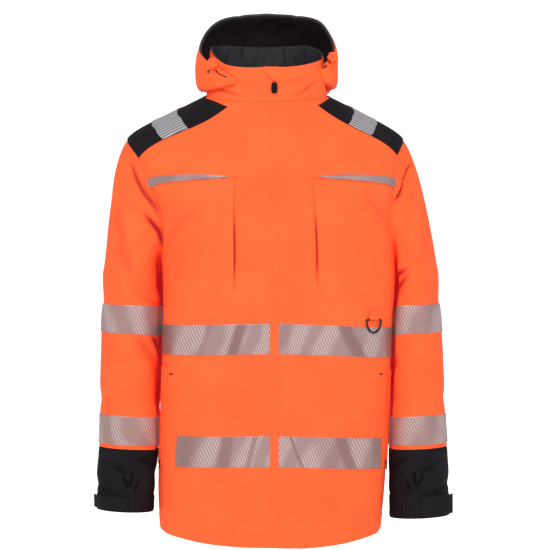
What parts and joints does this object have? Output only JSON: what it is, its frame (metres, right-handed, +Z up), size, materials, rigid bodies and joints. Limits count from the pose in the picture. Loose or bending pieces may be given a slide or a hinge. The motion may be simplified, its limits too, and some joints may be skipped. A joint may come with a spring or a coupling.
{
  "type": "hi-vis work jacket",
  "caption": "Hooded hi-vis work jacket, filled out as if worn: orange shell, black forearms and shoulder patches, segmented reflective tape, stand collar, hollow.",
  "frame": {"origin": "centre of the neck at shoulder level, where the wearer's shoulders carry the jacket", "axes": "+Z up, -Y the way the wearer faces, +X to the wearer's left"},
  "size_m": [0.6233, 0.3241, 0.9259],
  "materials": {
    "orange_shell": "coated matt cloth",
    "black_fabric": "matt cloth",
    "dark_lining": "smooth lining cloth",
    "reflective_tape": "segmented retroreflective tape",
    "dark_metal": "dark lacquered",
    "moulded_black": "moulded, matt"
  },
  "bodies": {
    "garment": {"front_right": "orange_shell", "front_left": "orange_shell", "back": "orange_shell", "yoke_front_right": "orange_shell", "yoke_front_left": "orange_shell", "yoke_back_right": "orange_shell", "yoke_back_left": "orange_shell", "front_zip": "black_fabric", "zip_slider": "dark_metal", "chin_flap": "orange_shell", "collar_right": "orange_shell", "collar_left": "orange_shell", "collar_lining_right": "dark_lining", "collar_lining_left": "dark_lining", "hood_side_right": "orange_shell", "hood_centre": "orange_shell", "hood_side_left": "orange_shell", "hood_lining": "dark_lining", "hood_gather_right": "orange_shell", "hood_gather_left": "orange_shell", "pocket_chest_right": "orange_shell", "pocket_chest_left": "orange_shell", "pocket_side_right": "orange_shell", "pocket_side_left": "orange_shell", "d_ring_loop": "orange_shell", "shoulder_patch_right": "black_fabric", "shoulder_patch_left": "black_fabric", "tape_shoulder_right": "reflective_tape", "tape_shoulder_left": "reflective_tape", "tape_yoke_front_right": "reflective_tape", "tape_yoke_front_left": "reflective_tape", "tape_yoke_back_right": "reflective_tape", "tape_yoke_back_left": "reflective_tape", "tape_chest_right": "reflective_tape", "tape_chest_left": "reflective_tape", "tape_chest_back": "reflective_tape", "tape_waist_right": "reflective_tape", "tape_waist_left": "reflective_tape", "tape_waist_back": "reflective_tape", "sleeve_right": "orange_shell", "tape_sleeve_upper_right": "reflective_tape", "tape_sleeve_lower_right": "reflective_tape", "forearm_right": "black_fabric", "cuff_right": "black_fabric", "cuff_tab_right": "black_fabric", "sleeve_left": "orange_shell", "tape_sleeve_upper_left": "reflective_tape", "tape_sleeve_lower_left": "reflective_tape", "forearm_left": "black_fabric", "cuff_left": "black_fabric", "cuff_tab_left": "black_fabric"},
    "zip_pull": {"zip_pull_tab": "moulded_black"},
    "id_ring": {"d_ring": "dark_metal"}
  },
  "joints": [
    {"name": "zip_pull_hinge", "type": "hinge", "parent": "garment", "child": "zip_pull", "pos_m": [0.00775, -0.08897, 0.01375], "axis": [-0.9941, -0.1082, 0], "range_deg": [0, 90]},
    {"name": "d_ring_hinge", "type": "hinge", "parent": "garment", "child": "id_ring", "pos_m": [0.17712, -0.09864, -0.3876], "axis": [-0.8044, -0.5941, 0], "range_deg": [0, 160]}
  ]
}
